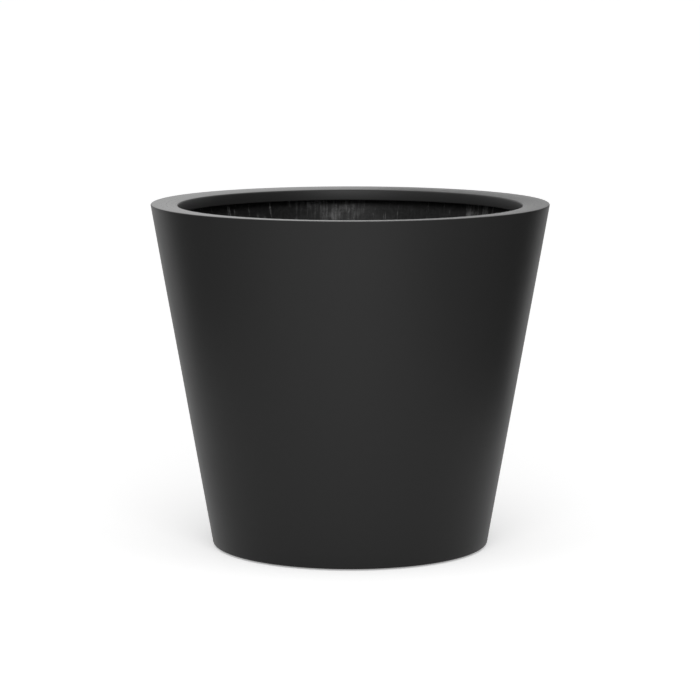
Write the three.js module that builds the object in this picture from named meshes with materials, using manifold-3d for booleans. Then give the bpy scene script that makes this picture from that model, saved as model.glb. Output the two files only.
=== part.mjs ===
// A round, tapered floor planter in painted glass-fibre laminate, wider at the rim than it is tall.
// Its wall, floor and rim are separate mouldings bonded together, and a rubber bung closes the drain.
// Millimetres, +Z up, origin on the ground under the centre of the planter.

import * as THREE from "three";
import { mergeVertices } from "three/addons/utils/BufferGeometryUtils.js";
import Module from "manifold-3d";

// Body
const RIM_RADIUS = 290; // outer edge of the rim, where its land meets the wall's outside
const BASE_RADIUS = 202; // where the wall's outside meets the underside
const BODY_HEIGHT = 501; // underside of the base to the rim's outer edge
const WALL_THICKNESS = 5; // laminate, square to its face
const BASE_ARRIS = 3; // rounding of the bottom edge
const FLANGE_WIDTH = 34; // flange turned in at the foot of the wall
const FLANGE_THICKNESS = 6;
const FLANGE_ARRIS = 1.5; // rounding of the flange's free edge
const FLANGE_BEND = 4; // inside radius where the wall turns into the flange

// Rim
const LAND_WIDTH = 40; // flat top of the rim
const LAND_THICKNESS = 6;
const LAND_FALL = 2.2; // the land drops this much to its inner edge
const LIP_DEPTH = 18.5; // from the rim's outer edge down to the bottom of the turned-down lip
const LIP_THICKNESS = 5;
const RIM_ARRIS = 1.8; // rounding of the rim's outer edge
const LIP_ARRIS = 2.5; // rounding where the land turns down into the lip
const LIP_END_ARRIS = 1.5; // rounding of the lip's free edge
const LIP_BEND = 4; // inside radius behind the lip
const SPIGOT_DEPTH = 6; // rib under the land that centres the rim inside the wall
const SPIGOT_WIDTH = 7;
const SPIGOT_ARRIS = 1; // rounding of the spigot's foot

// Floor and its drain
const FLOOR_THICKNESS = 6;
const DISH_RADIUS = 70; // the floor falls to the drain inside this radius
const DISH_DEPTH = 2;
const DRAIN_RADIUS = 12;

// Resin coves
const FLOOR_COVE = 14; // leg of the cove between the floor and the wall
const RIM_COVE = 6; // leg of the cove between the spigot and the wall
const COVE_EDGE = 0.8; // thickness left at a cove's thin edges

// Drain bung
const BUNG_FLANGE_RADIUS = 19;
const BUNG_FLANGE_THICKNESS = 3.5;
const BUNG_CROWN = 1; // rise of the flange's top towards its centre
const BUNG_ARRIS = 1; // rounding of the flange's edge
const BUNG_SHANK_RADIUS = 10.8; // between the sealing ribs
const BUNG_RIB_CLEARANCE = 0.3; // sealing rib to drain wall
const BUNG_SHANK_LENGTH = 10; // from the flange's underside at the shank
const BUNG_RIB_COUNT = 3;
const BUNG_CORE_RADIUS = 6; // hollow moulded into the shank's foot
const BUNG_CORE_DEPTH = 7;
const TAB_WIDTH = 24; // finger tab across the flange
const TAB_HEIGHT = 14; // above the flange's edge
const TAB_THICKNESS = 5;
const TAB_ROUND = 6; // rounding of the tab's upper corners

// Foot pads
const PAD_COUNT = 4;
const PAD_RADIUS = 10;
const PAD_HEIGHT = 1.7;
const PAD_INSET = 2; // from the flange's free edge to the pad
const PAD_ARRIS = 0.6; // rounding of the pad's lower edge
const PAD_START = Math.PI / 4; // bearing of the first pad

// Fits
const BOND_LINE = 0.3; // resin or adhesive film between bonded faces
const SEAT_GAP = 0.3; // bung's flange to the floor

// Fineness of the facets
const TURN_SEGMENTS = 72; // round the planter
const BUNG_SEGMENTS = 32;
const PAD_SEGMENTS = 24;
const ARC_FACETS = 3; // in a rounded corner or a cove

// Heights that follow from them
const baseZ = PAD_HEIGHT + BOND_LINE;
const topZ = baseZ + BODY_HEIGHT;
const floorUnderZ = baseZ + FLANGE_THICKNESS + BOND_LINE;
const floorZ = floorUnderZ + FLOOR_THICKNESS;
const rebateZ = floorZ - COVE_EDGE - BOND_LINE; // the floor cove's thin edge ends level with the floor
const seatZ = topZ - LAND_THICKNESS;
const spigotZ = seatZ - SPIGOT_DEPTH;

// The wall's taper: how much the radius grows for each millimetre of height, and what a
// thickness square to the wall measures along a radius.
const taper = (RIM_RADIUS - BASE_RADIUS) / BODY_HEIGHT;
const slant = Math.hypot(1, taper);
const outside = (z) => BASE_RADIUS + taper * (z - baseZ);
const inside = (z) => outside(z) - WALL_THICKNESS * slant;
const bondedInside = (z) => inside(z) - BOND_LINE * slant;

const paint = new THREE.MeshStandardMaterial({ color: 0x2c2c2d, roughness: 0.42, metalness: 0 });
const laminate = new THREE.MeshStandardMaterial({ color: 0x1a1a1a, roughness: 0.3, metalness: 0 });
const resin = new THREE.MeshStandardMaterial({ color: 0x161616, roughness: 0.25, metalness: 0 });
const rubber = new THREE.MeshStandardMaterial({ color: 0x191918, roughness: 0.7, metalness: 0 });

const wasm = await Module();
wasm.setup();

// Points along an outline whose corners are [x, y, rounding], each with its own rounding.
function rounded(corners) {
  const last = corners.length - 1;
  return corners.flatMap(([x, y, rounding], i) => {
    const here = new THREE.Vector2(x, y);
    if (!rounding) return [here];
    const before = new THREE.Vector2(...corners[i === 0 ? last : i - 1]).sub(here).normalize();
    const after = new THREE.Vector2(...corners[i === last ? 0 : i + 1]).sub(here).normalize();
    const half = Math.acos(before.dot(after)) / 2;
    const toCentre = before.clone().add(after).normalize();
    const centre = toCentre.multiplyScalar(rounding / Math.sin(half)).add(here);
    const reach = rounding / Math.tan(half);
    const startAngle = before.clone().multiplyScalar(reach).add(here).sub(centre).angle();
    const endAngle = after.clone().multiplyScalar(reach).add(here).sub(centre).angle();
    const clockwise = before.cross(after) > 0;
    const arc = new THREE.EllipseCurve(
      centre.x,
      centre.y,
      rounding,
      rounding,
      startAngle,
      endAngle,
      clockwise,
    );
    return arc.getPoints(ARC_FACETS);
  });
}

// Turns an outline of (radius, height) about the vertical axis. An outline that doesn't
// start on the axis is closed back to its first point.
function turned(outline, segments) {
  const points = outline[0].x === 0 ? [...outline] : [...outline, outline[0].clone()];
  if (THREE.ShapeUtils.isClockWise(points)) points.reverse();
  return new THREE.LatheGeometry(points, segments).rotateX(Math.PI / 2);
}

function solidOf(geometry) {
  const bare = geometry.clone();
  bare.deleteAttribute("normal");
  bare.deleteAttribute("uv");
  const merged = mergeVertices(bare, 1e-4);
  return new wasm.Manifold(
    new wasm.Mesh({
      numProp: 3,
      vertProperties: merged.attributes.position.array,
      triVerts: new Uint32Array(merged.index.array),
    }),
  );
}

function geometryOf(solid) {
  const mesh = solid.getMesh();
  const geometry = new THREE.BufferGeometry();
  geometry.setAttribute("position", new THREE.BufferAttribute(mesh.vertProperties, 3));
  geometry.setIndex(new THREE.BufferAttribute(mesh.triVerts, 1));
  geometry.computeVertexNormals();
  return geometry;
}

function piece(name, geometry, material) {
  const mesh = new THREE.Mesh(geometry, material);
  mesh.name = name;
  return mesh;
}

// Tapered wall with a flange turned in at its foot, laid up in a mould as one skin.
function shell() {
  const flangeRadius = BASE_RADIUS - FLANGE_WIDTH;
  const flangeTop = baseZ + FLANGE_THICKNESS;
  const wallTop = seatZ - BOND_LINE;
  return rounded([
    [flangeRadius, baseZ, FLANGE_ARRIS],
    [BASE_RADIUS, baseZ, BASE_ARRIS],
    [outside(wallTop), wallTop],
    [inside(wallTop), wallTop],
    [inside(flangeTop), flangeTop, FLANGE_BEND],
    [flangeRadius, flangeTop, FLANGE_ARRIS],
  ]);
}

// Moulded rim: the land, its turned-down lip with the undercut behind it, and the spigot
// that drops inside the wall so that the land's outer edge comes flush over the wall's top.
function rimRing() {
  const lipRadius = RIM_RADIUS - LAND_WIDTH;
  const lipZ = topZ - LIP_DEPTH;
  const behindLip = lipRadius + LIP_THICKNESS;
  const spigotOutside = bondedInside(spigotZ);
  const spigotInside = spigotOutside - SPIGOT_WIDTH;
  return rounded([
    [lipRadius, lipZ, LIP_END_ARRIS],
    [behindLip, lipZ, LIP_END_ARRIS],
    [behindLip, seatZ - LAND_FALL, LIP_BEND],
    [spigotInside, seatZ],
    [spigotInside, spigotZ, SPIGOT_ARRIS],
    [spigotOutside, spigotZ, SPIGOT_ARRIS],
    [bondedInside(seatZ), seatZ],
    [outside(seatZ), seatZ],
    [RIM_RADIUS, topZ, RIM_ARRIS],
    [lipRadius, topZ - LAND_FALL, LIP_ARRIS],
  ]);
}

// Floor disc, cut to the taper and bonded down on the flange, falling to a drain at its centre.
// The shallow rebate round its edge takes the cove.
function floorDisc() {
  const flatRadius = bondedInside(rebateZ + BOND_LINE) - FLOOR_COVE - BOND_LINE;
  return rounded([
    [DRAIN_RADIUS, floorUnderZ],
    [bondedInside(floorUnderZ), floorUnderZ, FLANGE_BEND - BOND_LINE],
    [bondedInside(rebateZ), rebateZ],
    [flatRadius, rebateZ],
    [flatRadius, floorZ],
    [DISH_RADIUS, floorZ],
    [DRAIN_RADIUS, floorZ - DISH_DEPTH],
  ]);
}

// Resin cove in the corner between the wall and a level face. It rises up the wall from a
// floor (side 1) or hangs down it from a face above (side -1).
function cove(faceZ, leg, side) {
  const cornerZ = faceZ + side * BOND_LINE;
  const endZ = cornerZ + side * leg;
  const corner = new THREE.Vector2(bondedInside(cornerZ), cornerZ);
  const wallEnd = new THREE.Vector2(bondedInside(endZ), endZ);
  const hollow = new THREE.QuadraticBezierCurve(
    wallEnd.clone().sub(new THREE.Vector2(COVE_EDGE, 0)),
    corner.clone().add(new THREE.Vector2(-COVE_EDGE, side * COVE_EDGE)),
    corner.clone().add(new THREE.Vector2(-leg, side * COVE_EDGE)),
  );
  const faceEnd = corner.clone().sub(new THREE.Vector2(leg, 0));
  return [faceEnd, corner, wallEnd, ...hollow.getPoints(ARC_FACETS)];
}

// Rubber bung: a crowned flange on the floor's dish, a shank with sealing ribs through the
// drain, cored out from below, and a tab to pull it by.
function drainBung() {
  const dishSlope = DISH_DEPTH / (DISH_RADIUS - DRAIN_RADIUS);
  const flangeUnder = (r) => floorZ - DISH_DEPTH + dishSlope * (r - DRAIN_RADIUS) + SEAT_GAP;
  const flangeTop = flangeUnder(BUNG_FLANGE_RADIUS) + BUNG_FLANGE_THICKNESS;
  const ribRadius = DRAIN_RADIUS - BUNG_RIB_CLEARANCE;
  const shankTop = flangeUnder(BUNG_SHANK_RADIUS);
  const foot = shankTop - BUNG_SHANK_LENGTH;
  const ribPitch = BUNG_SHANK_LENGTH / BUNG_RIB_COUNT;
  const corners = [
    [0, foot + BUNG_CORE_DEPTH],
    [BUNG_CORE_RADIUS, foot + BUNG_CORE_DEPTH, BUNG_ARRIS],
    [BUNG_CORE_RADIUS, foot],
    [BUNG_SHANK_RADIUS, foot],
  ];
  for (let rib = 0; rib < BUNG_RIB_COUNT; rib++) {
    const ribZ = foot + (rib + 0.5) * ribPitch;
    corners.push([BUNG_SHANK_RADIUS, ribZ - ribPitch / 4]);
    corners.push([ribRadius, ribZ]);
    corners.push([BUNG_SHANK_RADIUS, ribZ + ribPitch / 4]);
  }
  corners.push([BUNG_SHANK_RADIUS, shankTop]);
  corners.push([BUNG_FLANGE_RADIUS, flangeUnder(BUNG_FLANGE_RADIUS), BUNG_ARRIS]);
  corners.push([BUNG_FLANGE_RADIUS, flangeTop, BUNG_ARRIS]);
  corners.push([0, flangeTop + BUNG_CROWN]);
  const body = turned(rounded(corners), BUNG_SEGMENTS);

  const tabFoot = flangeTop - BUNG_FLANGE_THICKNESS / 2;
  const tabTop = flangeTop + TAB_HEIGHT;
  const tabOutline = rounded([
    [-TAB_WIDTH / 2, tabFoot],
    [TAB_WIDTH / 2, tabFoot],
    [TAB_WIDTH / 2, tabTop, TAB_ROUND],
    [-TAB_WIDTH / 2, tabTop, TAB_ROUND],
  ]);
  const tab = new THREE.ExtrudeGeometry(new THREE.Shape(tabOutline), {
    depth: TAB_THICKNESS,
    bevelEnabled: false,
  })
    .translate(0, 0, -TAB_THICKNESS / 2)
    .rotateX(Math.PI / 2);
  return geometryOf(solidOf(body).add(solidOf(tab)));
}

// Self-adhesive rubber disc, its lower edge rounded.
function footPad() {
  return rounded([
    [0, 0],
    [PAD_RADIUS, 0, PAD_ARRIS],
    [PAD_RADIUS, PAD_HEIGHT],
    [0, PAD_HEIGHT],
  ]);
}

const planter = new THREE.Group();
planter.add(
  piece("shell", turned(shell(), TURN_SEGMENTS), paint),
  piece("rim_ring", turned(rimRing(), TURN_SEGMENTS), paint),
  piece("rim_fillet", turned(cove(spigotZ, RIM_COVE, -1), TURN_SEGMENTS), resin),
  piece("floor", turned(floorDisc(), TURN_SEGMENTS), laminate),
  piece("floor_fillet", turned(cove(rebateZ, FLOOR_COVE, 1), TURN_SEGMENTS), resin),
  piece("drain_bung", drainBung(), rubber),
);

const padCircle = BASE_RADIUS - FLANGE_WIDTH + PAD_INSET + PAD_RADIUS;
for (let i = 0; i < PAD_COUNT; i++) {
  const bearing = PAD_START + (i * 2 * Math.PI) / PAD_COUNT;
  const pad = piece(`foot_pad_${i + 1}`, turned(footPad(), PAD_SEGMENTS), rubber);
  pad.position.set(padCircle * Math.cos(bearing), padCircle * Math.sin(bearing), 0);
  planter.add(pad);
}

export default planter;
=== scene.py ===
import math

import bmesh
import bpy
from mathutils import Matrix, Vector, noise


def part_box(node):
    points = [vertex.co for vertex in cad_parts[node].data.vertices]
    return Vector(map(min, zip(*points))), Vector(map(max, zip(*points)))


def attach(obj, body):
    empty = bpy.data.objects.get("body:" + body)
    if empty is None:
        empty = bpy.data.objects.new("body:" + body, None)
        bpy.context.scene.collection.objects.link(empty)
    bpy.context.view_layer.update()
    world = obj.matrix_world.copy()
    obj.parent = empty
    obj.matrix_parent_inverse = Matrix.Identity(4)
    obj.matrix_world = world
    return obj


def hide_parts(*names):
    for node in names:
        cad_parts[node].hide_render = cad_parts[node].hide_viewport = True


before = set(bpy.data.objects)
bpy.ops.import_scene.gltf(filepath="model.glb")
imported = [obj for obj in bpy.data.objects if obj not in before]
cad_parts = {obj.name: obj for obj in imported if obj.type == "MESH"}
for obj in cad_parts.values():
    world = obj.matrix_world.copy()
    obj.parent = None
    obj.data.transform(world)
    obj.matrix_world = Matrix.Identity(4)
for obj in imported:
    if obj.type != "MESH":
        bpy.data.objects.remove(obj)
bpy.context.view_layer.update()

# ---------------------------------------------------------------------------------------
# Camera. It stands a little over four metres in front of the planter, above the height of
# the rim, and looks down at it through a long lens.
# ---------------------------------------------------------------------------------------
CAMERA_DISTANCE = 4.2214
CAMERA_HEIGHT = 0.8753
CAMERA_ASIDE = -0.0003
CAMERA_PITCH = math.radians(7.94)
CAMERA_LENS = 149.68
CAMERA_SENSOR = 36
CAMERA_REACH = 200

lens = bpy.data.cameras.new("camera")
lens.lens = CAMERA_LENS
lens.sensor_width = CAMERA_SENSOR
lens.clip_end = CAMERA_REACH
camera = bpy.data.objects.new("camera", lens)
camera.location = (CAMERA_ASIDE, -CAMERA_DISTANCE, CAMERA_HEIGHT)
camera.rotation_euler = (math.pi / 2 - CAMERA_PITCH, 0, 0)
bpy.context.scene.collection.objects.link(camera)
bpy.context.scene.camera = camera

# ---------------------------------------------------------------------------------------
# Wall. One skin of glass-fibre laminate, laid up by hand in a tapered mould, with a flange
# turned in at its foot. Its outside is filled, sanded and sprayed satin black, and its
# inside is left as it cured.
# ---------------------------------------------------------------------------------------
BASE_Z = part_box("shell")[0].z
SEAT_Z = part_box("shell")[1].z
RIM_RADIUS = 0.290
BASE_RADIUS = 0.202
BODY_HEIGHT = 0.501
WALL_THICKNESS = 0.005
BASE_ARRIS = 0.003
FLANGE_WIDTH = 0.034
FLANGE_THICKNESS = 0.006
FLANGE_ARRIS = 0.0012
FLANGE_BEND = 0.0034
OVERSPRAY = 0.001
WALL_ROWS = 40
TURN_STEPS = 288
ARRIS_STEPS = 5
WELD_DISTANCE = 1e-7
RING_TOLERANCE = 2e-5
HAND_WAVE = 0.0003
HAND_WAVE_LENGTH = 0.16
CREASE = math.radians(32)

TAPER = (RIM_RADIUS - BASE_RADIUS) / BODY_HEIGHT
SLANT = math.hypot(1, TAPER)
TOP_Z = BASE_Z + BODY_HEIGHT


def outside(z):
    """Radius of the wall's outside at a height."""
    return BASE_RADIUS + TAPER * (z - BASE_Z)


def inside(z):
    """Radius of the wall's inside at a height."""
    return outside(z) - WALL_THICKNESS * SLANT


def rounded(bm, edges, setback, steps):
    """Rounds edges of the bmesh, from a setback on each side of them."""
    bmesh.ops.bevel(
        bm,
        geom=edges,
        offset=setback,
        offset_type="OFFSET",
        affect="EDGES",
        segments=steps,
        profile=0.5,
        material=-1,
    )


def turned(section, steps):
    """Spins a section of (radius, height, arris) corners about the vertical axis, rounds its
    arrises and returns the bmesh. A section that starts on the axis ends on it too."""
    bm = bmesh.new()
    verts = [bm.verts.new((r, 0, z)) for r, z, _ in section]
    edges = [bm.edges.new(pair) for pair in zip(verts, verts[1:])]
    if section[0][0] > 0:
        edges.append(bm.edges.new((verts[-1], verts[0])))
    bmesh.ops.spin(
        bm,
        geom=verts + edges,
        cent=(0, 0, 0),
        axis=(0, 0, 1),
        dvec=(0, 0, 0),
        angle=2 * math.pi,
        steps=steps,
        use_merge=True,
        use_duplicate=False,
    )
    bmesh.ops.remove_doubles(bm, verts=bm.verts, dist=WELD_DISTANCE)
    bmesh.ops.recalc_face_normals(bm, faces=bm.faces)
    for r, z, arris in section:
        if arris:
            ring = [
                e
                for e in bm.edges
                if all(abs(v.co.xy.length - r) < RING_TOLERANCE for v in e.verts)
                and all(abs(v.co.z - z) < RING_TOLERANCE for v in e.verts)
            ]
            rounded(bm, ring, arris, ARRIS_STEPS)
    return bm


def hand_made(bm, stray, length):
    """Lets a hand-laid surface stray from the true turned form by a fraction of a millimetre."""
    for v in bm.verts:
        v.co.xy += v.co.xy.normalized() * noise.noise(v.co / length) * stray


def finished(name, bm, materials):
    """Makes the bmesh an object, smooth but for its sharp arrises."""
    for face in bm.faces:
        face.smooth = True
    for edge in bm.edges:
        if len(edge.link_faces) == 2 and edge.calc_face_angle() > CREASE:
            edge.smooth = False
    mesh = bpy.data.meshes.new(name)
    bm.to_mesh(mesh)
    bm.free()
    for material in materials:
        mesh.materials.append(material)
    piece = bpy.data.objects.new(name, mesh)
    bpy.context.scene.collection.objects.link(piece)
    return piece


def linear(hex_colour):
    """An sRGB hex colour as linear RGBA."""
    channels = [int(hex_colour[i : i + 2], 16) / 255 for i in (1, 3, 5)]
    return [c / 12.92 if c <= 0.04045 else ((c + 0.055) / 1.055) ** 2.4 for c in channels] + [1]


def blank(name):
    """A material with a plain Principled shader."""
    material = bpy.data.materials.new(name)
    material.use_nodes = True
    return material, material.node_tree, material.node_tree.nodes["Principled BSDF"]


def add(tree, kind, inputs, **settings):
    """Adds a node with its settings. Each input gets a value, or the output that feeds it."""
    node = tree.nodes.new(kind)
    for name, value in settings.items():
        setattr(node, name, value)
    for socket, value in inputs.items():
        if isinstance(value, bpy.types.NodeSocket):
            tree.links.new(value, node.inputs[socket])
        else:
            node.inputs[socket].default_value = value
    return node


# Two-pack polyurethane, sprayed over sanded gelcoat. Its matting agent leaves it satin, with
# a faint cloudiness in the sheen and a fine orange peel.
PAINT_COLOUR = "#242424"
PAINT_IOR = 1.5
PAINT_SPECULAR = 0.1
PAINT_ROUGHNESS = 0.42
PAINT_CLOUDINESS = 0.05
PAINT_CLOUD_SIZE = 0.12
PEEL_SIZE = 0.0015
PEEL_STRENGTH = 0.3
PEEL_RELIEF = 0.00002

satin_paint, tree, shader = blank("satin_polyurethane_paint")
place = add(tree, "ShaderNodeTexCoord", {}).outputs["Object"]
cloud = add(
    tree,
    "ShaderNodeTexNoise",
    {"Vector": place, "Scale": 1 / PAINT_CLOUD_SIZE, "Detail": 4.0},
)
sheen = add(
    tree,
    "ShaderNodeMapRange",
    {
        "Value": cloud.outputs["Fac"],
        "To Min": PAINT_ROUGHNESS - PAINT_CLOUDINESS,
        "To Max": PAINT_ROUGHNESS + PAINT_CLOUDINESS,
    },
)
peel = add(tree, "ShaderNodeTexNoise", {"Vector": place, "Scale": 1 / PEEL_SIZE, "Detail": 1.0})
orange_peel = add(
    tree,
    "ShaderNodeBump",
    {"Height": peel.outputs["Fac"], "Strength": PEEL_STRENGTH, "Distance": PEEL_RELIEF},
)
shader.inputs["Base Color"].default_value = linear(PAINT_COLOUR)
shader.inputs["IOR"].default_value = PAINT_IOR
shader.inputs["Specular IOR Level"].default_value = PAINT_SPECULAR
tree.links.new(sheen.outputs[0], shader.inputs["Roughness"])
tree.links.new(orange_peel.outputs[0], shader.inputs["Normal"])

# Black-pigmented polyester over woven glass, brushed on and left as it cured: a dark skin with
# a low sheen, and the tows of the weave showing paler where the resin was rolled thin. It ran
# down before it set, so most of the dry patches are near the rim.
RESIN_COLOUR = "#1b1b1b"
GLASS_COLOUR = "#b2b2b2"
LAMINATE_IOR = 1.55
LAMINATE_SPECULAR = 0.07
RESIN_ROUGHNESS = 0.36
GLASS_ROUGHNESS = 0.6
WEAVE_RELIEF = 0.00045

# The cloth. Its tows are flat bundles of threads, and it strays by a tow or two as it is laid.
TOW_WIDTH = 0.005
TOWS_ROUND = 340
THREADS_PER_TOW = 5.0
THREAD_RUN = 0.4
CLOTH_STRAY = 1.6
CLOTH_STRAY_LENGTH = 0.05
CROSSOVER = 0.6
UNDER_SHOWS = 0.2
TOW_EDGE_HEIGHT = 0.35

# The resin. It lies unevenly, with brush strokes down the wall, single dry strands, and milky
# scuffs where it was rubbed. The seed settles where its dry patches lie. It is set so that a
# pale cloud falls at the back of the mouth under the lip: partly dry glass, and partly a
# painted highlight of the softbox.
CLOUD_SIZE = 0.12
DRY_CLOUD_AND_HIGHLIGHT_SEED = 20.0
STROKE_WIDTH = 0.006
STROKE_LENGTH = 0.05
STROKE_SHARE = 0.3
RUN_TOP = 0.45
RUN_GAIN = 0.15
WET_LEVEL = 0.71
DRY_LEVEL = 0.94
WET_SHOWS = 0.04
STRAND_START = 0.6
STRAND_FULL = 0.72
STRAND_SHOWS = 0.5
SCUFF_SIZE = 0.014
SCUFF_FINENESS = 0.65
SCUFF_SWIRL = 1.2
SCUFF_START = 0.4
SCUFF_FULL = 0.7
SCUFF_SHOWS = 0.9


def laid_cloth(tree, place, across, along, tows_per_unit):
    """Counts the tows across and along the cloth, with the stray of its laying."""
    warp = add(tree, "ShaderNodeMath", {0: across, 1: tows_per_unit}, operation="MULTIPLY")
    weft = add(tree, "ShaderNodeMath", {0: along, 1: 1 / TOW_WIDTH}, operation="MULTIPLY")
    straight = add(tree, "ShaderNodeCombineXYZ", {0: warp.outputs[0], 1: weft.outputs[0]})
    stray = add(
        tree,
        "ShaderNodeTexNoise",
        {"Vector": place, "Scale": 1 / CLOTH_STRAY_LENGTH, "Detail": 2.0},
    )
    laid = add(
        tree,
        "ShaderNodeVectorMath",
        {0: stray.outputs["Color"], 1: (CLOTH_STRAY,) * 3, 2: straight.outputs[0]},
        operation="MULTIPLY_ADD",
    )
    return laid.outputs[0]


def weave(tree, laid):
    """Height of the cloth: crowned tows of threads, passing over and under those across them."""
    counts = add(tree, "ShaderNodeSeparateXYZ", {"Vector": laid})
    along_warp = (THREADS_PER_TOW, THREAD_RUN, 1)
    along_weft = (THREAD_RUN, THREADS_PER_TOW, 1)
    swings = []
    tows = []
    for count, stretch in zip(counts.outputs[:2], (along_warp, along_weft)):
        phase = add(tree, "ShaderNodeMath", {0: count, 1: math.pi}, operation="MULTIPLY")
        swing = add(tree, "ShaderNodeMath", {0: phase.outputs[0]}, operation="SINE").outputs[0]
        height = add(tree, "ShaderNodeMath", {0: swing}, operation="ABSOLUTE").outputs[0]
        crown = add(tree, "ShaderNodeMapRange", {"Value": height, "To Min": TOW_EDGE_HEIGHT})
        drawn = add(tree, "ShaderNodeMapping", {"Vector": laid, "Scale": stretch}).outputs[0]
        threads = add(tree, "ShaderNodeTexNoise", {"Vector": drawn, "Scale": 1.0, "Detail": 1.0})
        tow = add(
            tree,
            "ShaderNodeMath",
            {0: crown.outputs[0], 1: threads.outputs["Fac"]},
            operation="MULTIPLY",
        )
        swings.append(swing)
        tows.append(tow.outputs[0])
    crossing = add(tree, "ShaderNodeMath", {0: swings[0], 1: swings[1]}, operation="MULTIPLY")
    warp_over = add(
        tree,
        "ShaderNodeMapRange",
        {
            "Value": crossing.outputs[0],
            "From Min": -CROSSOVER,
            "From Max": CROSSOVER,
            "To Min": UNDER_SHOWS,
        },
    )
    cloth = add(tree, "ShaderNodeMix", {"Factor": warp_over.outputs[0], 2: tows[1], 3: tows[0]})
    return cloth.outputs[0]


def dryness_and_highlight(tree, place, laid, height):
    """How bare of resin the glass is: in clouds and strokes, less so lower down, or in strands.
    One cloud, at the back of the mouth under the lip, is partly a painted highlight of the
    softbox.
    """
    resin = add(
        tree,
        "ShaderNodeTexNoise",
        {"Vector": place, "W": DRY_CLOUD_AND_HIGHLIGHT_SEED, "Scale": 1 / CLOUD_SIZE, "Detail": 5.0},
        noise_dimensions="4D",
    )
    swept = add(
        tree,
        "ShaderNodeMapping",
        {"Vector": laid, "Scale": (TOW_WIDTH / STROKE_WIDTH, TOW_WIDTH / STROKE_LENGTH, 1)},
    )
    strokes = add(
        tree,
        "ShaderNodeTexNoise",
        {"Vector": swept.outputs[0], "Scale": 1.0, "Detail": 3.0},
    )
    uneven = add(
        tree,
        "ShaderNodeMath",
        {0: strokes.outputs["Fac"], 1: STROKE_SHARE, 2: resin.outputs["Fac"]},
        operation="MULTIPLY_ADD",
    )
    run_down = add(
        tree,
        "ShaderNodeMapRange",
        {"Value": height, "From Max": RUN_TOP, "To Min": -RUN_GAIN, "To Max": 0.0},
    )
    spread = add(
        tree,
        "ShaderNodeMath",
        {0: uneven.outputs[0], 1: run_down.outputs[0]},
        operation="ADD",
    )
    patches = add(
        tree,
        "ShaderNodeMapRange",
        {
            "Value": spread.outputs[0],
            "From Min": WET_LEVEL,
            "From Max": DRY_LEVEL,
            "To Min": WET_SHOWS,
            "To Max": 1.0,
        },
    )
    strands = add(
        tree,
        "ShaderNodeMapRange",
        {
            "Value": strokes.outputs["Fac"],
            "From Min": STRAND_START,
            "From Max": STRAND_FULL,
            "To Max": STRAND_SHOWS,
        },
    )
    bare = add(
        tree,
        "ShaderNodeMath",
        {0: patches.outputs[0], 1: strands.outputs[0]},
        operation="MAXIMUM",
    )
    return bare.outputs[0]


def glass_laminate(name, wrapped):
    """The cured laminate, with its cloth wrapped round the wall or laid flat on the floor."""
    material, tree, shader = blank(name)
    place = add(tree, "ShaderNodeTexCoord", {}).outputs["Object"]
    x, y, z = add(tree, "ShaderNodeSeparateXYZ", {"Vector": place}).outputs
    if wrapped:
        turn = add(tree, "ShaderNodeMath", {0: x, 1: y}, operation="ARCTAN2").outputs[0]
        laid = laid_cloth(tree, place, turn, z, TOWS_ROUND / (2 * math.pi))
    else:
        laid = laid_cloth(tree, place, x, y, 1 / TOW_WIDTH)
    scuffs = add(
        tree,
        "ShaderNodeTexNoise",
        {
            "Vector": place,
            "Scale": 1 / SCUFF_SIZE,
            "Detail": 5.0,
            "Roughness": SCUFF_FINENESS,
            "Distortion": SCUFF_SWIRL,
        },
    )
    milky = add(
        tree,
        "ShaderNodeMapRange",
        {
            "Value": scuffs.outputs["Fac"],
            "From Min": SCUFF_START,
            "From Max": SCUFF_FULL,
            "To Max": SCUFF_SHOWS,
        },
    )
    veiled = add(
        tree,
        "ShaderNodeMath",
        {0: weave(tree, laid), 1: milky.outputs[0]},
        operation="ADD",
    )
    shown = add(
        tree,
        "ShaderNodeMath",
        {0: veiled.outputs[0], 1: dryness_and_highlight(tree, place, laid, z)},
        operation="MULTIPLY",
    )
    colour = add(
        tree,
        "ShaderNodeMix",
        {"Factor": shown.outputs[0], 6: linear(RESIN_COLOUR), 7: linear(GLASS_COLOUR)},
        data_type="RGBA",
    )
    relief = add(
        tree,
        "ShaderNodeBump",
        {"Height": shown.outputs[0], "Strength": 1.0, "Distance": WEAVE_RELIEF},
    )
    gloss = add(
        tree,
        "ShaderNodeMapRange",
        {"Value": shown.outputs[0], "To Min": RESIN_ROUGHNESS, "To Max": GLASS_ROUGHNESS},
    )
    shader.inputs["IOR"].default_value = LAMINATE_IOR
    shader.inputs["Specular IOR Level"].default_value = LAMINATE_SPECULAR
    tree.links.new(colour.outputs[2], shader.inputs["Base Color"])
    tree.links.new(gloss.outputs[0], shader.inputs["Roughness"])
    tree.links.new(relief.outputs[0], shader.inputs["Normal"])
    return material


wrapped_laminate = glass_laminate("cured_glass_laminate_on_wall", True)

flange_radius = BASE_RADIUS - FLANGE_WIDTH
flange_top = BASE_Z + FLANGE_THICKNESS
wall_mesh = turned(
    [
        (flange_radius, BASE_Z, FLANGE_ARRIS),
        (BASE_RADIUS, BASE_Z, BASE_ARRIS),
        (outside(SEAT_Z), SEAT_Z, 0),
        (inside(SEAT_Z), SEAT_Z, 0),
        (inside(flange_top), flange_top, FLANGE_BEND),
        (flange_radius, flange_top, FLANGE_ARRIS),
    ],
    TURN_STEPS,
)
uprights = [e for e in wall_mesh.edges if abs(e.verts[0].co.z - e.verts[1].co.z) > BODY_HEIGHT / 2]
bmesh.ops.subdivide_edges(wall_mesh, edges=uprights, cuts=WALL_ROWS, use_grid_fill=True)
hand_made(wall_mesh, HAND_WAVE, HAND_WAVE_LENGTH)

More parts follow.
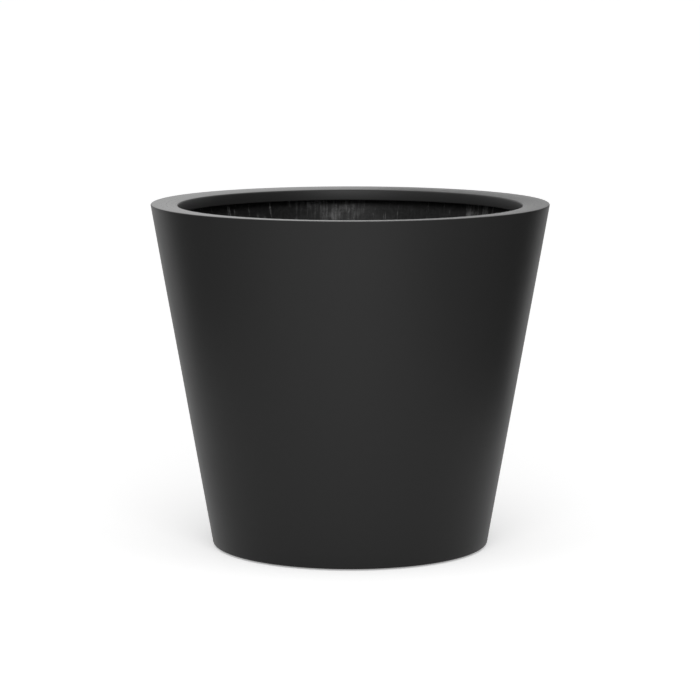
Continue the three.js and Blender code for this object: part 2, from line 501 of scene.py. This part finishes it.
# The paint ends a little way up the flange's inner edge, and the laminate inside stays bare.
wall_finishes = [satin_paint, wrapped_laminate]
for face in wall_mesh.faces:
    middle = face.calc_center_median()
    finish = satin_paint
    if middle.xy.length < outside(middle.z) - WALL_THICKNESS / 2 and middle.z > BASE_Z + OVERSPRAY:
        finish = wrapped_laminate
    face.material_index = wall_finishes.index(finish)
wall = finished("wall", wall_mesh, wall_finishes)
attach(wall, "planter")
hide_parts("shell")

# ---------------------------------------------------------------------------------------
# Rim. A separate moulding bonded into the top of the wall: a land that falls a little to
# the inside, and a lip turned down inside the mouth, open behind. The paint covers its joint
# with the wall, and its land and lip are rubbed down afterwards.
# ---------------------------------------------------------------------------------------
LAND_WIDTH = 0.040
LAND_THICKNESS = 0.006
LAND_FALL = 0.0022
LIP_DEPTH = 0.0185
LIP_DRAFT = 0.0009
LIP_THICKNESS = 0.005
RIM_ARRIS = 0.0021
LIP_ARRIS = 0.0024
LIP_END_ARRIS = 0.0014
LIP_BEND = 0.004
LIP_TRIM_WAVE = 0.0004
LIP_TRIM_LENGTH = 0.03
LIP_TRIM_REACH = 1.2 * LIP_END_ARRIS
LIP_TRIM_MARGIN = 0.001
SPIGOT_DEPTH = 0.006
SPIGOT_WIDTH = 0.007
SPIGOT_ARRIS = 0.001
BOND_LINE = 0.0003
STEEP = 0.6

# The same paint, rubbed down round and round with fine abrasive. The land is left the
# smoother, with rings of faint scratches in its sheen, and the lip stays nearer to satin. The
# scratches are drawn a few times wider than such abrasive cuts them, so that they show.
LAND_ROUGHNESS = 0.3
LAND_SPECULAR = 0.55
LIP_ROUGHNESS = 0.46
LIP_SPECULAR = 0.3
SCRATCH_WIDTH = 0.0007
SCRATCH_FINENESS = 0.7
SCRATCH_STRENGTH = 0.5
SCRATCH_DEPTH = 0.00003
SCRATCH_START = 0.3
SCRATCH_FULL = 0.7
SMOOTHER = 0.03
ROUGHER = 0.04
DRIFT_LENGTH = 1 / 6


def rubbed_down(name, roughness, specular):
    """The paint after rubbing down, with its scratches drawn round the mouth."""
    material, tree, shader = blank(name)
    place = add(tree, "ShaderNodeTexCoord", {}).outputs["Object"]
    height = add(tree, "ShaderNodeSeparateXYZ", {"Vector": place}).outputs[2]
    flat = add(tree, "ShaderNodeMapping", {"Vector": place, "Scale": (1, 1, 0)}).outputs[0]
    reach = add(tree, "ShaderNodeVectorMath", {0: flat}, operation="LENGTH").outputs["Value"]
    across = add(tree, "ShaderNodeMath", {0: reach, 1: height}, operation="ADD")
    drift = add(
        tree,
        "ShaderNodeTexNoise",
        {"Vector": place, "Scale": 1 / DRIFT_LENGTH, "Detail": 3.0},
    )
    rings = add(
        tree,
        "ShaderNodeMath",
        {0: across.outputs[0], 1: 1 / SCRATCH_WIDTH, 2: drift.outputs["Fac"]},
        operation="MULTIPLY_ADD",
    )
    scratches = add(
        tree,
        "ShaderNodeTexNoise",
        {"W": rings.outputs[0], "Scale": 1.0, "Detail": 3.0, "Roughness": SCRATCH_FINENESS},
        noise_dimensions="1D",
    )
    sheen = add(
        tree,
        "ShaderNodeMapRange",
        {
            "Value": scratches.outputs["Fac"],
            "From Min": SCRATCH_START,
            "From Max": SCRATCH_FULL,
            "To Min": roughness - SMOOTHER,
            "To Max": roughness + ROUGHER,
        },
    )
    grooves = add(
        tree,
        "ShaderNodeBump",
        {
            "Height": scratches.outputs["Fac"],
            "Strength": SCRATCH_STRENGTH,
            "Distance": SCRATCH_DEPTH,
        },
    )
    shader.inputs["Base Color"].default_value = linear(PAINT_COLOUR)
    shader.inputs["IOR"].default_value = PAINT_IOR
    shader.inputs["Specular IOR Level"].default_value = specular
    tree.links.new(sheen.outputs[0], shader.inputs["Roughness"])
    tree.links.new(grooves.outputs[0], shader.inputs["Normal"])
    return material


rubbed_land = rubbed_down("rubbed_down_polyurethane_paint_land", LAND_ROUGHNESS, LAND_SPECULAR)
rubbed_lip = rubbed_down("rubbed_down_polyurethane_paint_lip", LIP_ROUGHNESS, LIP_SPECULAR)

lip_radius = RIM_RADIUS - LAND_WIDTH
lip_z = TOP_Z - LIP_DEPTH
behind_lip = lip_radius + LIP_THICKNESS
under_land = TOP_Z - LAND_THICKNESS
spigot_z = under_land - SPIGOT_DEPTH
spigot_outside = inside(spigot_z) - BOND_LINE * SLANT
rim_mesh = turned(
    [
        (lip_radius - LIP_DRAFT / 2, lip_z, LIP_END_ARRIS),
        (behind_lip, lip_z, LIP_END_ARRIS),
        (behind_lip, under_land - LAND_FALL, LIP_BEND),
        (spigot_outside - SPIGOT_WIDTH, under_land, 0),
        (spigot_outside - SPIGOT_WIDTH, spigot_z, SPIGOT_ARRIS),
        (spigot_outside, spigot_z, SPIGOT_ARRIS),
        (inside(SEAT_Z), SEAT_Z, 0),
        (outside(SEAT_Z), SEAT_Z, 0),
        (RIM_RADIUS, TOP_Z, RIM_ARRIS),
        (lip_radius + LIP_DRAFT / 2, TOP_Z - LAND_FALL, LIP_ARRIS),
    ],
    TURN_STEPS,
)
hand_made(rim_mesh, HAND_WAVE, HAND_WAVE_LENGTH)
for v in rim_mesh.verts:
    if v.co.z < lip_z + LIP_TRIM_REACH and v.co.xy.length < behind_lip + LIP_TRIM_MARGIN:
        v.co.z += abs(noise.noise(v.co / LIP_TRIM_LENGTH)) * LIP_TRIM_WAVE
rim_mesh.normal_update()

# The side below the outer arris is left as sprayed, and what faces the mouth is the lip's.
# Behind the lip and on the spigot the laminate stays bare. All the rest is the land's.
rim_finishes = [rubbed_land, satin_paint, rubbed_lip, wrapped_laminate]
for face in rim_mesh.faces:
    middle = face.calc_center_median()
    radius = middle.xy.length
    outward = face.normal.xy.dot(middle.xy) / radius
    finish = rubbed_land
    if behind_lip - OVERSPRAY < radius < outside(middle.z) - OVERSPRAY and middle.z < under_land:
        finish = wrapped_laminate
    elif outward < -STEEP and radius < lip_radius + LIP_ARRIS:
        finish = rubbed_lip
    elif outward > STEEP and radius > RIM_RADIUS - RIM_ARRIS:
        finish = satin_paint
    face.material_index = rim_finishes.index(finish)
rim = finished("rim", rim_mesh, rim_finishes)
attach(rim, "planter")
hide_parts("rim_ring")

# ---------------------------------------------------------------------------------------
# Rim cove. Thickened resin, wiped with a rounded stick into the corner under the rim's
# spigot, where it bonds the rim to the wall.
# ---------------------------------------------------------------------------------------
RIM_COVE_LEG = 0.006
COVE_EDGE = 0.0008
COVE_SETBACK = 0.002
COVE_STRAY = 0.0003
COVE_STRAY_LENGTH = 0.02

# Polyester resin thickened with silica and black paste: it cures glassy, with small sags and
# a few pinholes.
COVE_COLOUR = "#131314"
COVE_IOR = 1.55
COVE_GLOSSIEST = 0.12
COVE_DULLEST = 0.35
SAG_SIZE = 0.012
SAG_STRENGTH = 0.8
SAG_RELIEF = 0.0005
PINHOLE_SPACING = 0.009
PINHOLE_BOTTOM = 0.05
PINHOLE_BRINK = 0.1

bonding_resin, tree, shader = blank("thickened_bonding_resin")
place = add(tree, "ShaderNodeTexCoord", {}).outputs["Object"]
sags = add(tree, "ShaderNodeTexNoise", {"Vector": place, "Scale": 1 / SAG_SIZE, "Detail": 3.0})
pinholes = add(tree, "ShaderNodeTexVoronoi", {"Vector": place, "Scale": 1 / PINHOLE_SPACING})
pits = add(
    tree,
    "ShaderNodeMapRange",
    {
        "Value": pinholes.outputs["Distance"],
        "From Min": PINHOLE_BOTTOM,
        "From Max": PINHOLE_BRINK,
    },
)
skin = add(
    tree,
    "ShaderNodeMath",
    {0: sags.outputs["Fac"], 1: pits.outputs[0]},
    operation="MULTIPLY",
)
relief = add(
    tree,
    "ShaderNodeBump",
    {"Height": skin.outputs[0], "Strength": SAG_STRENGTH, "Distance": SAG_RELIEF},
)
gloss = add(
    tree,
    "ShaderNodeMapRange",
    {"Value": sags.outputs["Fac"], "To Min": COVE_GLOSSIEST, "To Max": COVE_DULLEST},
)
shader.inputs["Base Color"].default_value = linear(COVE_COLOUR)
shader.inputs["IOR"].default_value = COVE_IOR
tree.links.new(gloss.outputs[0], shader.inputs["Roughness"])
tree.links.new(relief.outputs[0], shader.inputs["Normal"])


def bonded_inside(z):
    """Radius of what is bonded to the wall's inside at a height."""
    return inside(z) - BOND_LINE * SLANT


def cove(face_z, leg, side):
    """A bead with a hollow face, in the corner of the wall and a face that it stands on
    (side 1) or hangs from (side -1)."""
    near = face_z + side * BOND_LINE
    far = near + side * leg
    edge = near + side * COVE_EDGE
    return turned(
        [
            (bonded_inside(near) - leg, near, 0),
            (bonded_inside(near), near, 0),
            (bonded_inside(far), far, 0),
            (bonded_inside(far) - COVE_EDGE, far, 0),
            (bonded_inside(edge) - COVE_EDGE, edge, leg - COVE_SETBACK),
            (bonded_inside(near) - leg, edge, 0),
        ],
        TURN_STEPS,
    )


rim_cove_mesh = cove(spigot_z, RIM_COVE_LEG, -1)
hand_made(rim_cove_mesh, COVE_STRAY, COVE_STRAY_LENGTH)
rim_cove = finished("rim_cove", rim_cove_mesh, [bonding_resin])
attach(rim_cove, "planter")
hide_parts("rim_fillet")

# ---------------------------------------------------------------------------------------
# Floor. A laminate disc, bonded on the wall's turned-in flange. It has a shallow rebate for
# the cove at its edge, and its middle is dished to the drain hole.
# ---------------------------------------------------------------------------------------
FLOOR_THICKNESS = 0.006
FLOOR_EDGE_CLEARANCE = 0.001
FLOOR_EDGE_ARRIS = 0.003
DISH_RADIUS = 0.070
DISH_DEPTH = 0.002
DRAIN_RADIUS = 0.012
DRAIN_ARRIS = 0.0006
FLOOR_COVE_LEG = 0.014

floor_under_z = flange_top + BOND_LINE
floor_z = floor_under_z + FLOOR_THICKNESS
rebate_z = floor_z - COVE_EDGE - BOND_LINE
flat_radius = bonded_inside(rebate_z + BOND_LINE) - FLOOR_COVE_LEG - BOND_LINE
floor_under_radius = bonded_inside(flange_top + FLANGE_BEND) - FLOOR_EDGE_CLEARANCE
floor_mesh = turned(
    [
        (DRAIN_RADIUS, floor_under_z, DRAIN_ARRIS),
        (floor_under_radius, floor_under_z, FLOOR_EDGE_ARRIS),
        (bonded_inside(rebate_z), rebate_z, 0),
        (flat_radius, rebate_z, 0),
        (flat_radius, floor_z, 0),
        (DISH_RADIUS, floor_z, 0),
        (DRAIN_RADIUS, floor_z - DISH_DEPTH, DRAIN_ARRIS),
    ],
    TURN_STEPS,
)
hand_made(floor_mesh, HAND_WAVE, HAND_WAVE_LENGTH)
flat_laminate = glass_laminate("cured_glass_laminate_on_floor", False)
floor = finished("floor_disc", floor_mesh, [flat_laminate])
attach(floor, "planter")
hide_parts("floor")

# ---------------------------------------------------------------------------------------
# Floor cove. The same thickened resin, drawn round the corner of the floor and the wall with
# a wider stick, to seal it.
# ---------------------------------------------------------------------------------------
floor_cove_mesh = cove(rebate_z, FLOOR_COVE_LEG, 1)
hand_made(floor_cove_mesh, COVE_STRAY, COVE_STRAY_LENGTH)
floor_cove = finished("floor_cove", floor_cove_mesh, [bonding_resin])
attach(floor_cove, "planter")
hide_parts("floor_fillet")

# ---------------------------------------------------------------------------------------
# Drain bung. One rubber moulding, pushed into the drain from above: a crowned flange, a
# shank with three sealing ribs and a cored end, and a finger tab with grip ridges.
# ---------------------------------------------------------------------------------------
BUNG_FOOT_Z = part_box("drain_bung")[0].z
BUNG_TOP_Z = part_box("drain_bung")[1].z
BUNG_FLANGE_RADIUS = 0.019
BUNG_FLANGE_THICKNESS = 0.0035
BUNG_FLANGE_ARRIS = 0.001
BUNG_SEAT_ARRIS = 0.0006
BUNG_SEAT_RISE = 0.0002
BUNG_CROWN = 0.001
BUNG_CROWN_BREAK = 0.0003
BUNG_CROWN_BREAK_RADIUS = 0.01045
BUNG_SHANK_RADIUS = 0.0108
BUNG_SHANK_LENGTH = 0.010
BUNG_SHANK_ARRIS = 0.0008
BUNG_RIB_RADIUS = 0.0117
BUNG_RIB_COUNT = 3
BUNG_RIB_ARRIS = 0.0003
BUNG_CORE_RADIUS = 0.006
BUNG_CORE_DEPTH = 0.007
BUNG_CORE_ARRIS = 0.0008
BUNG_CORE_MOUTH_ARRIS = 0.0004
BUNG_STEPS = 96
TAB_WIDTH = 0.024
TAB_HEIGHT = 0.014
TAB_THICKNESS = 0.005
TAB_ROUND = 0.006
TAB_ROUND_STEPS = 10
TAB_ARRIS = 0.0008
TAB_ARRIS_STEPS = 4
TAB_CORNER = math.radians(60)
RIDGE_COUNT = 3
RIDGE_LENGTH = 0.014
RIDGE_RADIUS = 0.0007
RIDGE_SPACING = 0.0028
RIDGE_DROP = 0.0035
RIDGE_STEPS = 16
SAME_PLACE = 1e-6

# Black EPDM, compression moulded: dull and faintly grey, with a slight grain from its mould.
RUBBER_COLOUR = "#1d1d1c"
RUBBER_IOR = 1.52
RUBBER_SMOOTHEST = 0.55
RUBBER_DULLEST = 0.8
GRAIN_SIZE = 0.0006
GRAIN_STRENGTH = 0.5
GRAIN_RELIEF = 0.00005
BLOOM_SIZE = 1 / 120

moulded_rubber, tree, shader = blank("moulded_epdm_rubber")
place = add(tree, "ShaderNodeTexCoord", {}).outputs["Object"]
grain = add(tree, "ShaderNodeTexNoise", {"Vector": place, "Scale": 1 / GRAIN_SIZE, "Detail": 2.0})
bloom = add(tree, "ShaderNodeTexNoise", {"Vector": place, "Scale": 1 / BLOOM_SIZE, "Detail": 3.0})
relief = add(
    tree,
    "ShaderNodeBump",
    {"Height": grain.outputs["Fac"], "Strength": GRAIN_STRENGTH, "Distance": GRAIN_RELIEF},
)
dull = add(
    tree,
    "ShaderNodeMapRange",
    {"Value": bloom.outputs["Fac"], "To Min": RUBBER_SMOOTHEST, "To Max": RUBBER_DULLEST},
)
shader.inputs["Base Color"].default_value = linear(RUBBER_COLOUR)
shader.inputs["IOR"].default_value = RUBBER_IOR
tree.links.new(dull.outputs[0], shader.inputs["Roughness"])
tree.links.new(relief.outputs[0], shader.inputs["Normal"])

flange_under = BUNG_TOP_Z - TAB_HEIGHT - BUNG_FLANGE_THICKNESS
flange_crown = flange_under + BUNG_FLANGE_THICKNESS
rib_pitch = BUNG_SHANK_LENGTH / (BUNG_RIB_COUNT + 1)
rib_reach = BUNG_RIB_RADIUS - BUNG_SHANK_RADIUS
section = [
    (0, BUNG_FOOT_Z + BUNG_CORE_DEPTH, 0),
    (BUNG_CORE_RADIUS, BUNG_FOOT_Z + BUNG_CORE_DEPTH, BUNG_CORE_ARRIS),
    (BUNG_CORE_RADIUS, BUNG_FOOT_Z, BUNG_CORE_MOUTH_ARRIS),
    (BUNG_SHANK_RADIUS, BUNG_FOOT_Z, BUNG_SHANK_ARRIS),
]
for rib in range(1, BUNG_RIB_COUNT + 1):
    rib_z = BUNG_FOOT_Z + rib * rib_pitch
    section += [
        (BUNG_SHANK_RADIUS, rib_z - rib_reach, 0),
        (BUNG_RIB_RADIUS, rib_z, BUNG_RIB_ARRIS),
        (BUNG_SHANK_RADIUS, rib_z + rib_reach, 0),
    ]
section += [
    (BUNG_SHANK_RADIUS, flange_under, 0),
    (BUNG_FLANGE_RADIUS, flange_under + BUNG_SEAT_RISE, BUNG_SEAT_ARRIS),
    (BUNG_FLANGE_RADIUS, flange_crown - BUNG_CROWN, BUNG_FLANGE_ARRIS),
    (BUNG_CROWN_BREAK_RADIUS, flange_crown - BUNG_CROWN_BREAK, 0),
    (0, flange_crown, 0),
]
bung_mesh = turned(section, BUNG_STEPS)
tab_mesh = bmesh.new()
tab_foot = flange_crown - BUNG_CROWN
tab_size = (TAB_WIDTH, TAB_THICKNESS, BUNG_TOP_Z - tab_foot)
bmesh.ops.create_cube(tab_mesh, size=1)
bmesh.ops.scale(tab_mesh, vec=tab_size, verts=tab_mesh.verts)
bmesh.ops.translate(tab_mesh, vec=(0, 0, (BUNG_TOP_Z + tab_foot) / 2), verts=tab_mesh.verts)
top_corners = [
    e
    for e in tab_mesh.edges
    if all(v.co.z > BUNG_TOP_Z - SAME_PLACE for v in e.verts)
    and abs(e.verts[0].co.x - e.verts[1].co.x) < SAME_PLACE
]
rounded(tab_mesh, top_corners, TAB_ROUND, TAB_ROUND_STEPS)
outline = [e for e in tab_mesh.edges if e.calc_face_angle() > TAB_CORNER]
rounded(tab_mesh, outline, TAB_ARRIS, TAB_ARRIS_STEPS)
for ridge in range(RIDGE_COUNT):
    ridge_z = BUNG_TOP_Z - RIDGE_DROP - ridge * RIDGE_SPACING
    for face_side in (-1, 1):
        ridge_place = Matrix.Translation((0, face_side * TAB_THICKNESS / 2, ridge_z))
        bmesh.ops.create_cone(
            tab_mesh,
            cap_ends=True,
            segments=RIDGE_STEPS,
            radius1=RIDGE_RADIUS,
            radius2=RIDGE_RADIUS,
            depth=RIDGE_LENGTH,
            matrix=ridge_place @ Matrix.Rotation(math.pi / 2, 4, "Y"),
        )
spare = bpy.data.meshes.new("tab")
tab_mesh.to_mesh(spare)
tab_mesh.free()
bung_mesh.from_mesh(spare)
bpy.data.meshes.remove(spare)
bung = finished("bung", bung_mesh, [moulded_rubber])
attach(bung, "bung")
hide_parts("drain_bung")

# ---------------------------------------------------------------------------------------
# Feet. Four self-adhesive rubber pads under the flange, which keep the planter off the
# ground so that water can run away.
# ---------------------------------------------------------------------------------------
PAD_COUNT = 4
PAD_ARRIS = 0.0006
PAD_TOP_ARRIS = 0.0002
PAD_STEPS = 48

for number in range(1, PAD_COUNT + 1):
    low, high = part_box("foot_pad_%d" % number)
    radius = (high.x - low.x) / 2
    pad_mesh = turned(
        [
            (0, low.z, 0),
            (radius, low.z, PAD_ARRIS),
            (radius, BASE_Z, PAD_TOP_ARRIS),
            (0, BASE_Z, 0),
        ],
        PAD_STEPS,
    )
    pad_place = ((low.x + high.x) / 2, (low.y + high.y) / 2, 0)
    bmesh.ops.translate(pad_mesh, vec=pad_place, verts=pad_mesh.verts)
    pad = finished("foot_%d" % number, pad_mesh, [moulded_rubber])
    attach(pad, "planter")
    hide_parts("foot_pad_%d" % number)

# ---------------------------------------------------------------------------------------
# Studio. A pale floor that meets a white surround, soft light from all round, a softbox
# above and in front, a low fill under it, and boards that only the paint's sheen shows.
# ---------------------------------------------------------------------------------------
FLOOR_COLOUR = "#f4f4f4"
FLOOR_RADIUS = 60
FLOOR_STEPS = 96
FOAM_ROUGHNESS = 0.9

# How much the floor glows where it is looked at, so that it meets the surround, and how much
# light the surround gives for the white that it shows.
FLOOR_LIFT = 0.34
AMBIENT = 0.74

# Each lamp has its power in watts, its width and height, its place, and the point it faces.
LAMPS = (
    ("softbox", 10.5, (1.0, 0.45), (0.03, -1.5, 1.12), (0, 0, 0.4)),
    ("low_fill", 1.0, (0.8, 0.12), (0, -1.5, 0.05), (0, 0, 0.4)),
)

# Each board has its colour, its two ends in plan, and the heights of its foot and its top.
BOARDS = (
    ("black_board_left", "#141414", (-0.9, -0.95), (-0.9, 0.42), 0, 0.65),
    ("black_board_right", "#141414", (0.68, -1.15), (0.68, 0.46), 0, 1.1),
    ("grey_board_behind", "#c8c8c8", (0.05, 1.5), (1.5, 1.2), 0.72, 1.5),
)


def seen_directly(tree):
    """1 where the camera, a reflection or a clear piece looks, and 0 where light is gathered."""
    rays = add(tree, "ShaderNodeLightPath", {})
    looks = add(
        tree,
        "ShaderNodeMath",
        {0: rays.outputs["Is Camera Ray"], 1: rays.outputs["Is Glossy Ray"]},
        operation="ADD",
    )
    seen = add(
        tree,
        "ShaderNodeMath",
        {0: looks.outputs[0], 1: rays.outputs["Is Transmission Ray"]},
        operation="ADD",
        use_clamp=True,
    )
    return seen.outputs[0]


ground_mesh = bmesh.new()
bmesh.ops.create_circle(ground_mesh, cap_ends=True, segments=FLOOR_STEPS, radius=FLOOR_RADIUS)
pale_floor, tree, shader = blank("pale_studio_floor")
tree.nodes.remove(shader)
lift = add(tree, "ShaderNodeMath", {0: seen_directly(tree), 1: FLOOR_LIFT}, operation="MULTIPLY")
matt = add(tree, "ShaderNodeBsdfDiffuse", {"Color": linear(FLOOR_COLOUR)})
glow = add(tree, "ShaderNodeEmission", {"Color": (1, 1, 1, 1), "Strength": lift.outputs[0]})
both = add(tree, "ShaderNodeAddShader", {0: matt.outputs[0], 1: glow.outputs[0]})
tree.links.new(both.outputs[0], tree.nodes["Material Output"].inputs["Surface"])
ground = finished("studio_floor", ground_mesh, [pale_floor])

for name, colour, one_end, other_end, low, high in BOARDS:
    foam_board, tree, shader = blank(name + "_foam")
    shader.inputs["Base Color"].default_value = linear(colour)
    shader.inputs["Roughness"].default_value = FOAM_ROUGHNESS
    board_mesh = bmesh.new()
    ends = [board_mesh.verts.new((*end, low)) for end in (one_end, other_end)]
    raised = bmesh.ops.extrude_edge_only(board_mesh, edges=[board_mesh.edges.new(ends)])["geom"]
    top = [v for v in raised if isinstance(v, bmesh.types.BMVert)]
    bmesh.ops.translate(board_mesh, vec=(0, 0, high - low), verts=top)
    board = finished(name, board_mesh, [foam_board])
    board.visible_camera = False
    board.visible_diffuse = False
    board.visible_shadow = False

surround = bpy.data.worlds.new("white_surround")
surround.use_nodes = True
tree = surround.node_tree
level = add(
    tree,
    "ShaderNodeMapRange",
    {"Value": seen_directly(tree), "To Min": AMBIENT, "To Max": 1.0},
)
background = tree.nodes["Background"]
background.inputs["Color"].default_value = (1, 1, 1, 1)
tree.links.new(level.outputs[0], background.inputs["Strength"])
bpy.context.scene.world = surround

for name, power, size, place, aim in LAMPS:
    lamp = bpy.data.lights.new(name, "AREA")
    lamp.shape = "RECTANGLE"
    lamp.size, lamp.size_y = size
    lamp.energy = power
    holder = bpy.data.objects.new(name, lamp)
    holder.location = place
    holder.rotation_euler = (Vector(aim) - Vector(place)).to_track_quat("-Z", "Y").to_euler()
    holder.visible_camera = False
    bpy.context.scene.collection.objects.link(holder)

bpy.context.scene.view_settings.view_transform = "Standard"
